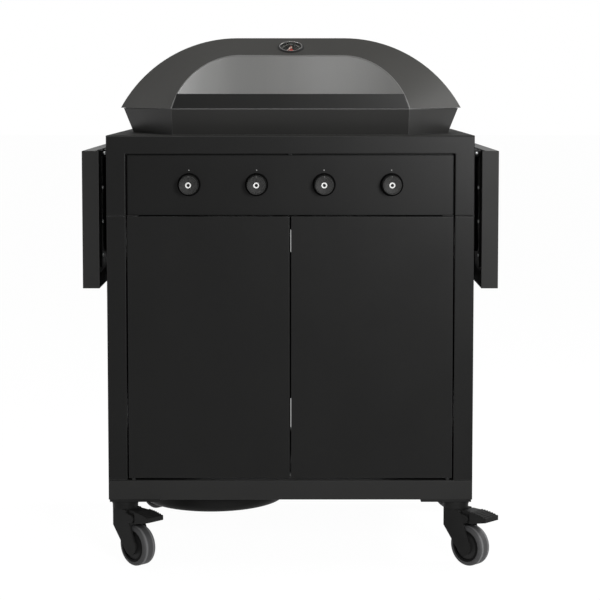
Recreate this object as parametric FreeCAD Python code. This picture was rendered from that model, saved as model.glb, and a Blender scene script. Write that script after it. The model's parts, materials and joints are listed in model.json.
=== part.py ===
import FreeCAD, Part
import math
import os

os.makedirs("parts", exist_ok=True)

# Gas grill: a cabinet on casters with a firebox, a vaulted lid and two fold-down side tables.
# Millimetres. X to the right, Y to the back, Z up from the floor.

# Cabinet
cabinet_width = 724.0
cabinet_depth = 540.0
worktop_height = 858.0
worktop_sheet = 2.0
cabinet_sheet = 1.5
edge_radius = 1.2
post_width = 38.0
top_rail_height = 36.0
apron_height = 157.5
seam_gap = 1.4
post_foot_gap = 1.2
jamb_depth = 16.0
back_flange = 25.0
panel_recess = 8.0
panel_sheet = 2.0
panel_lap = 8.0
panel_groove = 3.0
panel_groove_depth = 12.0
panel_shelf_depth = 34.0
tab_width = 6.0
tab_depth = 3.0
tab_height = 2.5

# Base, floor and bottle dish
base_rail_height = 39.0
base_rail_width = 38.0
slide_in_clearance = 1.0
dish_radius = 155.0
dish_bottom_height = 77.0
dish_sheet = 1.2
dish_corner_radius = 14.0
dish_flange = 16.0
dish_wall_margin = 25.5
dish_clearance = 1.0

# Back panel openings
vent_bottom = 577.0
vent_height = 51.0
vent_width = 420.0
lower_vent_top = 240.0

# Doors
door_gap = 2.5
door_middle_gap = 2.5
door_top_gap = 1.6
door_bottom_gap = 4.5
door_depth = 18.0
door_sheet = 1.2
pivot_edge_distance = 9.0
pivot_face_distance = 5.0
pivot_radius = 2.0
pivot_engagement = 8.0
pivot_collar_radius = 4.5
pivot_plate_size = 24.0
catch_width = 20.0
catch_height = 12.0
catch_depth = 18.0
catch_offset = 14.0

# Firebox and cooking parts
rim_gap = 0.8
rim_height_over_worktop = 51.5
firebox_side_margin = 13.0
firebox_front_margin = 42.0
firebox_flat_margin = 36.5
plan_side_depth = 42.0
foot_side_inset = 20.0
foot_front_inset = 10.0
foot_corner_inset_x = 1.0
foot_corner_inset_y = 2.0
firebox_wall = 3.0
ledge_width = 18.0
tub_depth = 124.0
tub_wall = 2.0
cutout_clearance = 2.0
drain_width = 120.0
drain_length = 60.0
shelf_drop = 69.0
shelf_depth = 34.0
burner_radius = 12.0
burner_wall = 1.5
burner_hole_clearance = 0.4
burner_mouth = 12.0
burner_tail = 12.0
tamer_half_width = 27.0
tamer_rise = 24.0
tamer_sheet = 1.5
tamer_seat = 8.0
grate_thickness = 12.0
grate_clearance = 4.0
grate_rim = 11.0
grate_bar = 8.0
grate_pitch = 19.0

# Controls and gas train
knob_count = 4
knob_pitch = 133.0
knob_drop = 97.0
knob_radius = 20.0
knob_face_radius = 19.0
knob_length = 23.0
knob_edge = 1.6
knob_bore_depth = 19.0
knob_push = 3.0
knob_push_clearance = 0.6
bezel_radius = 22.8
bezel_thickness = 3.0
stem_radius = 4.0
stem_flat = 2.6
stem_hole_clearance = 1.5
running_clearance = 0.05
valve_width = 24.0
valve_height = 28.0
valve_length = 32.0
valve_bore_depth = 18.0
valve_stub_radius = 6.0
nozzle_radius = 5.0
nozzle_reach = 5.0
manifold_radius = 10.0
manifold_drop = 30.0
manifold_overhang = 30.0
inlet_radius = 6.58
inlet_length = 16.0
inlet_collar_radius = 9.5
inlet_collar_length = 6.0

# Drip tray
tray_half_width = 120.0
tray_height = 22.0
tray_sheet = 1.2
tray_front_reach = 180.0
tray_fascia_thickness = 2.0
tray_fascia_margin = 12.0
tray_grip_depth = 16.0
tray_grip_height = 10.0
tray_grip_half_width = 60.0
tray_clearance = 0.3
tray_side_clearance = 1.0
runner_sheet = 2.0
runner_lip = 14.0
runner_drop = 31.0
tray_slot_clearance = 3.0

# Lid
lid_wall = 3.0
lid_rise = 144.5
lid_tip_overhang = 6.0
lid_flat_half = 111.0
arch_flat_half = 104.0
arch_top_drop = 39.0
arch_lean = 105.0
front_panel_sheet = 2.0
handle_height = 30.0
handle_sheet = 3.0
hinge_spacing = 300.0
hinge_setback = 16.0
hinge_drop = 4.0
hinge_eye_radius = 9.0
hinge_pin_radius = 4.0
hinge_arm_thickness = 5.0
hinge_arm_depth = 8.0
hinge_arm_low = 3.5
hinge_arm_high = 40.0
hinge_side_clearance = 0.4
hinge_ear = 3.0
hinge_foot_width = 30.0
hinge_foot_front = 14.0
hinge_foot_back = 20.0
hinge_foot_thickness = 3.0

# Thermometer
dial_radius = 22.0
bezel_wall = 3.0
gauge_floor = 1.5
gauge_band = 0.2
gauge_flange = 2.0
gauge_flange_thickness = 0.8
case_clearance = 0.3
dial_thickness = 1.0
lens_thickness = 1.5
lens_setback = 1.0
lens_gap = 0.5
gauge_clearance = 0.1
probe_radius = 4.0
probe_length = 46.0
needle_length = 17.0
needle_tail = 5.0
needle_width = 2.2
needle_thickness = 0.6
needle_lift = 0.8
needle_hub_radius = 2.6
needle_post_radius = 1.0
needle_rest_turn = 150.0

# Side tables
table_length = 500.0
table_width = 273.0
table_thickness = 33.0
table_relief = 7.0
table_sheet = 1.5
table_hinge_out = 12.0
table_hinge_drop = 38.0
table_edge_over_hinge = 7.0
arm_spacing = 340.0
arm_width = 20.0
arm_sheet = 2.0
arm_length = 236.0
arm_setback = 2.0
arm_screw_count = 3
arm_screw_first = 58.0
arm_screw_pitch = 68.5
arm_screw_radius = 3.4
arm_screw_head = 2.6
table_pin_radius = 3.0
table_eye_radius = 8.0
table_tongue_height = 12.0
table_ear = 3.0
table_ear_clearance = 1.0
wall_plate = 2.5
wall_plate_width = 40.0
wall_plate_below = 60.0
wall_plate_above = 20.0

# Casters
wheel_radius = 40.0
wheel_width = 30.0
tyre_depth = 8.5
tyre_shoulder = 6.0
tyre_fit = 0.1
hub_recess = 3.0
hub_recess_inner = 11.0
hub_recess_rim = 4.5
axle_radius = 5.0
caster_trail = 38.0
caster_turn = -45.0
caster_side_inset = 30.0
caster_end_inset = 33.0
caster_plate_size = 100.0
caster_plate_thickness = 5.0
caster_plate_margin = 2.0
race_radius = 26.5
race_height = 8.0
swivel_gap = 0.3
neck_radius = 25.5
neck_height = 8.0
king_pin_radius = 6.0
king_head_radius = 10.0
king_head_height = 7.0
king_pin_length = 24.0
wheel_gap = 4.0
hood_height = 27.7
hood_front_reach = 24.0
hood_rear_reach = 14.0
cheek_thickness = 4.5
cheek_gap = 1.5
cheek_heel_drop = 8.0
cheek_eye_radius = 17.0
pedal_pivot_reach = 40.0
pedal_pivot_rise = 12.0
pedal_pin_radius = 2.5
pedal_ear_radius = 8.0
pedal_tip_reach = 93.0
pedal_tip_rise = 5.5
pedal_tip_thickness = 9.0
pedal_top_rise = 16.0
pedal_root_clearance = 4.0
pedal_side_clearance = 0.4
pedal_pad_start = 52.0
pedal_pad_half_width = 20.0
pedal_underside_drop = 8.0
pedal_rib_count = 6
pedal_rib_depth = 1.2

# Levels and planes worked out from the sizes above
half = cabinet_width / 2
front = -cabinet_depth / 2
back = cabinet_depth / 2
hood_bottom = 2 * wheel_radius + wheel_gap
cheek_heel_height = hood_bottom - cheek_heel_drop
pedal_pivot_height = hood_bottom + pedal_pivot_rise
pedal_tip_height = pedal_pivot_height + pedal_tip_rise
pedal_top = pedal_pivot_height + pedal_top_rise
pedal_underside = pedal_pivot_height - pedal_underside_drop
base_height = hood_bottom + hood_height + neck_height + swivel_gap + race_height + caster_plate_thickness
base_top = base_height + base_rail_height
worktop_under = worktop_height - worktop_sheet
seam = worktop_height - apron_height
opening_top = worktop_height - top_rail_height
jamb = half - post_width
dish_x = dish_radius + dish_flange + dish_wall_margin - half
panel_front = front + panel_recess
panel_back = panel_front + panel_sheet
groove_floor = panel_front + panel_groove_depth
needle_post_top = gauge_floor + dial_thickness + needle_lift + 2 * needle_thickness
gauge_depth = needle_post_top + lens_gap + lens_thickness + lens_setback
gauge_sink = gauge_depth - bezel_wall / 2 - gauge_band - gauge_flange_thickness
knob_height = worktop_height - knob_drop
knob_places = [knob_pitch * (i - (knob_count - 1) / 2) for i in range(knob_count)]
rim_top = worktop_height + rim_height_over_worktop - rim_gap
lid_rim = worktop_height + rim_height_over_worktop
lid_top_height = lid_rim + lid_rise
plan_side_half = half - firebox_side_margin
plan_front_half = knob_places[-1] + firebox_flat_margin
plan_front_depth = cabinet_depth / 2 - firebox_front_margin
foot_side_half = plan_side_half - foot_side_inset
foot_side_depth = plan_side_depth - foot_corner_inset_y
foot_front_half = plan_front_half - foot_corner_inset_x
foot_front_depth = plan_front_depth - foot_front_inset
lid_tip_half = plan_side_half + lid_tip_overhang
arch_top_rise = lid_rise - arch_top_drop
arch_top_depth = plan_front_depth - arch_lean
ledge_top = worktop_height + firebox_wall
tub_bottom = worktop_height - tub_depth
shelf_top = worktop_height - shelf_drop
door_top = seam - door_top_gap
door_bottom = base_top + door_bottom_gap
door_back = front + door_depth
pivot_x = jamb - door_gap - pivot_edge_distance
pivot_y = front + pivot_face_distance
bezel_front = panel_front - bezel_thickness
knob_back = bezel_front - knob_push - knob_push_clearance
knob_front = knob_back - knob_length
X_AXIS = FreeCAD.Vector(1, 0, 0)
Y_AXIS = FreeCAD.Vector(0, 1, 0)
Z_AXIS = FreeCAD.Vector(0, 0, 1)


def at(x, y, z):
    return FreeCAD.Vector(x, y, z)


def block(x, y, z):
    """Box between pairs of low and high values."""
    return Part.makeBox(x[1] - x[0], y[1] - y[0], z[1] - z[0], at(x[0], y[0], z[0]))


def rod(radius, start, end):
    return Part.makeCylinder(radius, start.distanceToPoint(end), start, end - start)


def prism(points, direction):
    """Straight extrusion of a polygon."""
    return Part.Face(Part.makePolygon(points + points[:1])).extrude(direction)


def join(shapes):
    return shapes[0].multiFuse(shapes[1:]).removeSplitter()


def group(shapes):
    return Part.makeCompound(shapes)


def mirrored(shape):
    """The same piece on the other side of the X = 0 plane."""
    return shape.mirror(at(0, 0, 0), X_AXIS)


def rounded(shape, radius, chosen):
    """Round the straight edges that the test picks."""
    edges = [e for e in shape.Edges if chosen(e)]
    return shape.makeFillet(radius, edges)


def on_plane(edge, axis, value):
    """True for an edge that lies in the plane where that coordinate has the value."""
    places = [getattr(v.Point, axis) for v in edge.Vertexes]
    return all(abs(p - value) < 1e-4 for p in places)


def octagon(front_half, front_depth, side_half, side_depth, z):
    """Corners of the firebox plan at one level."""
    right = [(front_half, -front_depth), (side_half, -side_depth),
             (side_half, side_depth), (front_half, front_depth)]
    left = [(-x, y) for x, y in reversed(right)]
    return [at(x, y, z) for x, y in right + left]


def inset(points, distance):
    """Move every side of a level convex polygon inwards by the same distance."""
    count = len(points)
    lines = []
    for i in range(count):
        start = points[i]
        along = (points[(i + 1) % count] - start).normalize()
        inward = Z_AXIS.cross(along)
        lines.append((start + inward * distance, along))
    corners = []
    for i in range(count):
        base, along = lines[i - 1]
        other, other_along = lines[i]
        reach = (other - base).cross(other_along).z / along.cross(other_along).z
        corners.append(base + along * reach)
    return corners


def lifted(points, z):
    return [at(p.x, p.y, z) for p in points]


def tapered(lower, upper):
    """Solid between two level polygons with straight sides."""
    wires = [Part.makePolygon(p + p[:1]) for p in (lower, upper)]
    return Part.makeLoft(wires, True, True)


# Base frame: four folded rails, open towards the middle.
def base_frame():
    def channel(x, y, hollow_x, hollow_y):
        hollow = block(hollow_x, hollow_y, (base_height + cabinet_sheet, base_top - cabinet_sheet))
        return block(x, y, (base_height, base_top)).cut(hollow)

    inner_front = front + base_rail_width
    inner_back = back - base_rail_width
    inner_side = half - base_rail_width
    web_side = half - cabinet_sheet
    web_back = back - cabinet_sheet
    front_rail = channel((-half, half), (front, inner_front),
                         (-web_side, web_side), (front + cabinet_sheet, inner_front))
    front_rail = rounded(front_rail, edge_radius, lambda e: on_plane(e, "y", front))
    right_rail = channel((inner_side, half), (inner_front, back),
                         (inner_side, web_side), (inner_front, web_back))
    back_rail = channel((-inner_side, inner_side), (inner_back, back),
                        (-inner_side, inner_side), (inner_back, web_back))
    return group([front_rail, right_rail, mirrored(right_rail), back_rail])


def floor_panel():
    reach_x = half - cabinet_sheet - slide_in_clearance
    reach_y = back - cabinet_sheet - slide_in_clearance
    low = base_height + cabinet_sheet
    sheet = block((-reach_x, reach_x), (-reach_y, reach_y), (low, low + cabinet_sheet))
    hole = Part.makeCylinder(dish_radius + dish_clearance, cabinet_sheet, at(dish_x, 0, low))
    return sheet.cut(hole)


# Bottle dish: a drawn pan whose flange lies on the floor panel.
def bottle_dish():
    seat = base_height + 2 * cabinet_sheet
    depth = seat - dish_bottom_height
    middle = at(dish_x, 0, dish_bottom_height)
    cup = Part.makeCylinder(dish_radius, depth + dish_sheet, middle)
    cup = cup.makeFillet(dish_corner_radius, [e for e in cup.Edges if on_plane(e, "z", dish_bottom_height)])
    flange = Part.makeCylinder(dish_radius + dish_flange, dish_sheet, at(dish_x, 0, seat))
    inner_floor = dish_bottom_height + dish_sheet
    hollow = Part.makeCylinder(dish_radius - dish_sheet, depth + dish_sheet, at(dish_x, 0, inner_floor))
    bottom_edges = [e for e in hollow.Edges if on_plane(e, "z", inner_floor)]
    hollow = hollow.makeFillet(dish_corner_radius - dish_sheet, bottom_edges)
    return join([cup, flange]).cut(hollow)


# Side panel: the side sheet, folded into the front post and a back flange.
def right_side_panel():
    inner = half - cabinet_sheet
    side = block((inner, half), (front + cabinet_sheet, back), (base_top, worktop_under))
    post_z = (base_top + post_foot_gap, seam - seam_gap)
    face = block((jamb, half), (front, front + cabinet_sheet), post_z)
    jamb_return = block((jamb, jamb + cabinet_sheet), (front, front + jamb_depth), post_z)
    flange = block((half - back_flange, half), (back - cabinet_sheet, back), (base_top, worktop_under))
    panel = join([side, face, jamb_return, flange])

    def front_corner(edge):
        return on_plane(edge, "y", front) and (on_plane(edge, "x", half) or on_plane(edge, "x", jamb))
    return rounded(panel, edge_radius, front_corner)


def back_panel():
    reach = half - cabinet_sheet - slide_in_clearance
    sheet_y = (back - 2 * cabinet_sheet, back - cabinet_sheet)
    sheet = block((-reach, reach), sheet_y, (base_top, worktop_under))
    cut_y = (back - back_flange, back)
    vent_x = (-vent_width / 2, vent_width / 2)
    vent = block(vent_x, cut_y, (vent_bottom, vent_bottom + vent_height))
    lower_vent = block(vent_x, cut_y, (base_top, lower_vent_top))
    slot_half = tray_half_width + tray_slot_clearance
    slot_bottom = tub_bottom - runner_drop - tray_slot_clearance
    slot = block((-slot_half, slot_half), cut_y, (slot_bottom, tub_bottom))
    return sheet.cut(vent).cut(lower_vent).cut(slot)


# Front frame: top rail and two stiles, with returns around the control panel.
def front_frame():
    rail = block((-half, half), (front, front + cabinet_sheet), (opening_top, worktop_under))
    stile = block((jamb, half), (front, front + cabinet_sheet), (seam, opening_top))
    top_return = block((-jamb - cabinet_sheet, jamb + cabinet_sheet), (front, groove_floor),
                       (opening_top, opening_top + cabinet_sheet))
    side_return = block((jamb, jamb + cabinet_sheet), (front, groove_floor), (seam, opening_top))
    tab = block((-tab_width / 2, tab_width / 2), (panel_front - tab_depth, panel_front),
                (opening_top - tab_height, opening_top))
    frame = join([rail, stile, mirrored(stile), top_return, side_return, mirrored(side_return), tab])

    def front_corner(edge):
        if not on_plane(edge, "y", front):
            return False
        sides = [on_plane(edge, "x", s) for s in (half, -half, jamb, -jamb)]
        return any(sides) or on_plane(edge, "z", opening_top)
    return rounded(frame, edge_radius, front_corner)


# Control panel: a shallow pan with a groove around its face, lapping behind the frame returns.
def control_panel():
    wide = jamb - panel_groove
    high = opening_top - panel_groove
    lap_back = groove_floor + panel_sheet
    pan = block((-wide, wide), (panel_front, lap_back), (seam, high))
    hollow = block((panel_sheet - wide, wide - panel_sheet), (panel_back, lap_back),
                   (seam + panel_sheet, high - panel_sheet))
    reach = jamb + panel_lap
    flange = block((-reach, reach), (groove_floor, lap_back), (seam, opening_top + panel_lap))
    shelf = block((-wide, wide), (panel_front, panel_front + panel_shelf_depth), (seam, seam + panel_sheet))
    panel = join([pan, flange]).cut(hollow)
    panel = join([panel, shelf])
    for x in knob_places:
        hole_radius = stem_radius + stem_hole_clearance
        panel = panel.cut(rod(hole_radius, at(x, panel_front, knob_height), at(x, panel_back, knob_height)))
    return panel


# Worktop with the firebox cut-out.
def foot_outline():
    return octagon(foot_front_half, foot_front_depth, foot_side_half, foot_side_depth, worktop_height)


def worktop():
    sheet = block((-half, half), (front, back), (worktop_under, worktop_height))
    sheet = rounded(sheet, edge_radius, lambda e: on_plane(e, "z", worktop_height))
    hole = lifted(inset(foot_outline(), ledge_width - cutout_clearance), worktop_under - worktop_sheet)
    return sheet.cut(prism(hole, at(0, 0, 4 * worktop_sheet)))


# Firebox: flared collar on the worktop, inner ledge for the grates and a tub through the cut-out.
def firebox():
    foot = foot_outline()
    rim = octagon(plan_front_half, plan_front_depth, plan_side_half, plan_side_depth, rim_top)
    collar = tapered(foot, rim).cut(tapered(inset(foot, firebox_wall), inset(rim, firebox_wall)))
    tub_outside = inset(foot, ledge_width)
    tub_inside = inset(foot, ledge_width + tub_wall)
    ledge = prism(foot, at(0, 0, firebox_wall)).cut(prism(tub_inside, at(0, 0, firebox_wall)))
    depth = at(0, 0, tub_depth)
    walls = prism(lifted(tub_outside, tub_bottom), depth).cut(prism(lifted(tub_inside, tub_bottom), depth))
    bottom = prism(lifted(tub_outside, tub_bottom), at(0, 0, tub_wall))
    drain = block((-drain_width / 2, drain_width / 2), (-drain_length / 2, drain_length / 2),
                  (tub_bottom - tub_wall, tub_bottom + 2 * tub_wall))
    wall_y = foot_front_depth - ledge_width
    shelf = prism(lifted(tub_outside, shelf_top - tub_wall), at(0, 0, tub_wall))
    middle_y = wall_y - shelf_depth
    middle = block((-plan_side_half, plan_side_half), (-middle_y, middle_y),
                   (shelf_top - tub_wall, shelf_top))
    box = join([collar, ledge, walls, bottom.cut(drain), shelf.cut(middle)])
    for x in knob_places:
        hole_start = at(x, -wall_y - tub_wall, knob_height)
        hole_end = at(x, -wall_y + 2 * tub_wall, knob_height)
        box = box.cut(rod(burner_radius + burner_hole_clearance, hole_start, hole_end))
    return box


def burners():
    wall_y = foot_front_depth - ledge_width
    mouth = -wall_y - burner_mouth
    end = wall_y - tub_wall - burner_tail
    tubes = []
    for x in knob_places:
        tube = rod(burner_radius, at(x, mouth, knob_height), at(x, end, knob_height))
        inside = rod(burner_radius - burner_wall, at(x, mouth, knob_height),
                     at(x, end - burner_wall, knob_height))
        tail = block((x - burner_radius / 2, x + burner_radius / 2), (end - burner_wall, wall_y - tub_wall),
                     (knob_height - burner_wall, knob_height + burner_wall))
        tubes.append(join([tube.cut(inside), tail]))
    return group(tubes)


def flame_tamers():
    reach = foot_front_depth - ledge_width - shelf_depth + tamer_seat
    tents = []
    for x in knob_places:
        inner_half = tamer_half_width - tamer_sheet
        outline = [(-tamer_half_width, 0), (-inner_half, 0), (0, tamer_rise - tamer_sheet),
                   (inner_half, 0), (tamer_half_width, 0), (0, tamer_rise)]
        points = [at(x + dx, -reach, shelf_top + dz) for dx, dz in outline]
        tents.append(prism(points, at(0, 2 * reach, 0)))
    return group(tents)


# Cooking grates: two cast halves that lie on the firebox ledge.
def cooking_grate_right():
    outline = lifted(inset(foot_outline(), firebox_wall + grate_clearance), ledge_top)
    up = at(0, 0, grate_thickness)
    reach = plan_side_half
    grate_z = (ledge_top, ledge_top + grate_thickness)
    right_half = block((grate_clearance / 2, reach), (-reach, reach), grate_z)
    plate = prism(outline, up).common(right_half)
    opening = prism(inset(outline, grate_rim), up)
    first = grate_clearance / 2 + grate_rim
    slots = []
    count = int((max(p.x for p in outline) - grate_rim - first) / grate_pitch) + 1
    for i in range(count):
        low = first + i * grate_pitch
        slot_x = (low, low + grate_pitch - grate_bar)
        slots.append(block(slot_x, (-reach, reach), grate_z))
    return plate.cut(group(slots).common(opening))


# Gas train: manifold pipe with the inlet fitting, four valves and their stems.
def manifold_line():
    y = panel_back + valve_length / 2
    z = knob_height - manifold_drop
    return y, z


def gas_manifold():
    y, z = manifold_line()
    low = knob_places[0] - manifold_overhang
    high = knob_places[-1] + manifold_overhang / 2
    pipe = rod(manifold_radius, at(low, y, z), at(high, y, z))
    collar = rod(inlet_collar_radius, at(low - inlet_collar_length, y, z), at(low, y, z))
    thread_end = low - inlet_collar_length - inlet_length
    thread = rod(inlet_radius, at(thread_end, y, z), at(low - inlet_collar_length, y, z))
    return join([pipe, collar, thread])


def gas_valves():
    y, z = manifold_line()
    valves = []
    for x in knob_places:
        body = block((x - valve_width / 2, x + valve_width / 2), (panel_back, panel_back + valve_length),
                     (knob_height - valve_height / 2, knob_height + valve_height / 2))
        stub = rod(valve_stub_radius, at(x, y, z), at(x, y, knob_height - valve_height / 2))
        stub = stub.cut(rod(manifold_radius, at(x - valve_width, y, z), at(x + valve_width, y, z)))
        mouth = -(foot_front_depth - ledge_width) - burner_mouth
        nozzle = rod(nozzle_radius, at(x, panel_back + valve_length, knob_height),
                     at(x, mouth + nozzle_reach, knob_height))
        bore = rod(stem_radius + running_clearance, at(x, panel_back, knob_height),
                   at(x, panel_back + valve_bore_depth, knob_height))
        valves.append(join([body, stub, nozzle]).cut(bore))
    return group(valves)


def d_shaft(radius, x, near, far):
    """Round shaft along Y with a flat on its lower side."""
    shaft = rod(radius, at(x, near, knob_height), at(x, far, knob_height))
    flat_drop = stem_flat + radius - stem_radius
    flat = block((x - radius, x + radius), (near, far), (knob_height - radius, knob_height - flat_drop))
    return shaft.cut(flat)


def valve_stem(x):
    inner_end = panel_back + valve_bore_depth - knob_push_clearance
    tip = knob_back - knob_bore_depth + knob_push + knob_push_clearance
    round_part = rod(stem_radius, at(x, panel_front, knob_height), at(x, inner_end, knob_height))
    return join([d_shaft(stem_radius, x, tip, panel_front), round_part])


def knob(x):
    middle = at(x, knob_back, knob_height)
    body = Part.makeCone(knob_radius, knob_face_radius, knob_length, middle, at(0, -1, 0))
    body = body.makeFillet(knob_edge, [e for e in body.Edges if on_plane(e, "y", knob_front)])
    bore = d_shaft(stem_radius + running_clearance, x, knob_back - knob_bore_depth, knob_back)
    return body.cut(bore)


def knob_bezels():
    rings = []
    for x in knob_places:
        near = at(x, bezel_front, knob_height)
        far = at(x, panel_front, knob_height)
        ring = rod(bezel_radius, near, far)
        hole = rod(stem_radius + stem_hole_clearance, near, far)
        ring = ring.makeFillet(bezel_thickness / 3, [e for e in ring.Edges if on_plane(e, "y", bezel_front)])
        rings.append(ring.cut(hole))
    return group(rings)


# Doors: folded pans on top and bottom pivot pins.
def right_door():
    low_x = door_middle_gap / 2
    high_x = jamb - door_gap
    skin = block((low_x, high_x), (front, door_back), (door_bottom, door_top))
    skin = rounded(skin, edge_radius, lambda e: on_plane(e, "y", front))
    hollow = block((low_x + door_sheet, high_x - door_sheet), (front + door_sheet, door_back),
                   (door_bottom + door_sheet, door_top - door_sheet))
    bore = rod(pivot_radius + running_clearance, at(pivot_x, pivot_y, door_bottom),
               at(pivot_x, pivot_y, door_top))
    return skin.cut(hollow).cut(bore)


def door_pivots():
    collar_gap = running_clearance * 2

    def pin(radius, low, high):
        return rod(radius, at(pivot_x, pivot_y, low), at(pivot_x, pivot_y, high))
    low_pin = pin(pivot_radius, base_top, door_bottom + pivot_engagement)
    low_collar = pin(pivot_collar_radius, base_top, door_bottom - collar_gap)
    high_pin = pin(pivot_radius, door_top - pivot_engagement, seam)
    plate_x = (pivot_x - pivot_plate_size / 2, pivot_x + pivot_edge_distance)
    plate_y = (front + edge_radius, panel_front + pivot_plate_size)
    high_plate = block(plate_x, plate_y, (door_top + collar_gap, seam))
    low = join([low_pin, low_collar])
    high = join([high_pin, high_plate])
    return group([low, high, mirrored(low), mirrored(high)])


def door_catches():
    low = catch_offset
    catch_y = (door_back + swivel_gap, door_back + swivel_gap + catch_depth)
    catch = block((low, low + catch_width), catch_y, (seam - catch_height, seam))
    return group([catch, mirrored(catch)])


# Drip tray and its runners under the firebox tub.
def tray_runners():
    inner = tray_half_width + tray_side_clearance
    low = tub_bottom - runner_drop
    reach = foot_front_depth - ledge_width
    web = block((inner, inner + runner_sheet), (-reach, reach), (low, tub_bottom))
    lip = block((inner - runner_lip, inner), (-reach, reach), (low, low + runner_sheet))
    runner = join([web, lip])
    return group([runner, mirrored(runner)])


def drip_tray():
    low = tub_bottom - runner_drop + runner_sheet + tray_clearance
    pan = block((-tray_half_width, tray_half_width), (-tray_front_reach, back), (low, low + tray_height))
    hollow_half = tray_half_width - tray_sheet
    hollow = block((-hollow_half, hollow_half), (-tray_front_reach + tray_sheet, back - tray_sheet),
                   (low + tray_sheet, low + tray_height))
    side = tray_half_width + tray_slot_clearance + tray_fascia_margin
    fascia_z = (tub_bottom - runner_drop - tray_fascia_margin, tub_bottom + tray_fascia_margin)
    fascia_back = back + tray_fascia_thickness
    fascia = block((-side, side), (back, fascia_back), fascia_z)
    grip_low = low + tray_height / 2
    grip = block((-tray_grip_half_width, tray_grip_half_width), (fascia_back, fascia_back + tray_grip_depth),
                 (grip_low, grip_low + tray_grip_height))
    grip = rounded(grip, tray_grip_height / 3, lambda e: on_plane(e, "y", fascia_back + tray_grip_depth))
    return join([pan.cut(hollow), fascia, grip])


# Lid: a vault whose front and back slope between a small arch and the full arch.
def arch_radius(width, rise):
    return (width * width + rise * rise) / (2 * rise)


def arch_edges(flat_half, foot_half, top, low, y):
    """Left arc, top line and right arc of an arch in an upright plane."""
    rise = top - low
    radius = arch_radius(foot_half - flat_half, rise)
    middle = at(flat_half, y, top - radius)
    sweep = math.asin((foot_half - flat_half) / radius)
    if rise > radius:
        sweep = math.pi - sweep
    bend = middle + at(radius * math.sin(sweep / 2), 0, radius * math.cos(sweep / 2))
    right = Part.Arc(at(flat_half, y, top), bend, at(foot_half, y, low)).toShape()
    left = Part.Arc(at(-flat_half, y, top), at(-bend.x, y, bend.z), at(-foot_half, y, low)).toShape()
    flat = Part.LineSegment(at(-flat_half, y, top), at(flat_half, y, top)).toShape()
    return left, flat, right


def line(start, end):
    return Part.LineSegment(start, end).toShape()


def lid_solid(wall):
    """Closed solid of the lid, each face drawn in by the wall."""
    low = lid_rim
    top = lid_top_height - wall
    slope = (plan_front_depth - arch_top_depth) / arch_top_rise
    lean = wall * math.hypot(1, slope)
    foot_y = plan_front_depth - lean
    arch_top = low + arch_top_rise - wall
    foot_half = plan_front_half - wall
    tip_half = lid_tip_half - wall
    faces = []
    bottom_corners = octagon(foot_half, foot_y, tip_half, plan_side_depth, low)
    faces.append(Part.Face(Part.makePolygon(bottom_corners + bottom_corners[:1])))
    full_arches = []
    for side in (-1, 1):
        shear = FreeCAD.Matrix()
        shear.A23 = -side * slope
        shear.A24 = side * slope * low
        upright = arch_edges(arch_flat_half, foot_half, arch_top, low, side * foot_y)
        small = [e.transformGeometry(shear) for e in upright]
        full = arch_edges(lid_flat_half, tip_half, top, low, side * plan_side_depth)
        full_arches.append(full)
        base = line(at(-foot_half, side * foot_y, low), at(foot_half, side * foot_y, low))
        faces.append(Part.Face(Part.Wire(Part.sortEdges(list(small) + [base])[0])))
        faces.extend(Part.makeRuledSurface(a, b) for a, b in zip(small, full))
    faces.extend(Part.makeRuledSurface(a, b) for a, b in zip(*full_arches))
    shell = Part.makeShell(faces)
    shell.sewShape()
    solid = Part.makeSolid(shell)
    if solid.Volume < 0:
        solid.reverse()
    return solid


def front_slab(start, end):
    """Slanted layer between two depths behind the lid's sloping front plane."""
    slope = (plan_front_depth - arch_top_depth) / arch_top_rise
    stretch = math.hypot(1, slope)
    low = lid_rim - lid_wall
    high = lid_top_height + lid_wall

    def plane_y(z):
        return -plan_front_depth + slope * (z - lid_rim)
    corners = [(plane_y(low) + start * stretch, low), (plane_y(high) + start * stretch, high),
               (plane_y(high) + end * stretch, high), (plane_y(low) + end * stretch, low)]
    points = [at(-lid_tip_half, y, z) for y, z in corners]
    return prism(points, at(2 * lid_tip_half, 0, 0))


def gauge_place():
    """Foot of the thermometer, sunk into the sloping band at the top of the lid."""
    arch_top = lid_rim + arch_top_rise
    tilt = math.degrees(math.atan2(lid_top_height - arch_top, arch_top_depth - plan_side_depth))
    middle = at(0, -(arch_top_depth + plan_side_depth) / 2, (arch_top + lid_top_height) / 2)
    turn = FreeCAD.Rotation(X_AXIS, tilt)
    return FreeCAD.Placement(middle - turn.multVec(Z_AXIS) * gauge_sink, turn)


def placed(shape, placement):
    moved = shape.copy()
    moved.Placement = placement
    return moved


def lid_shell():
    shell = lid_solid(0).cut(lid_solid(lid_wall)).cut(front_slab(-lid_wall, front_panel_sheet))
    reach = 2 * probe_length
    hole_radius = dial_radius + bezel_wall + case_clearance
    hole = Part.makeCylinder(hole_radius, reach, at(0, 0, -reach / 2))
    return shell.cut(placed(hole, gauge_place()))


def lid_front_panel():
    return lid_solid(0).common(front_slab(0, front_panel_sheet))


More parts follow.
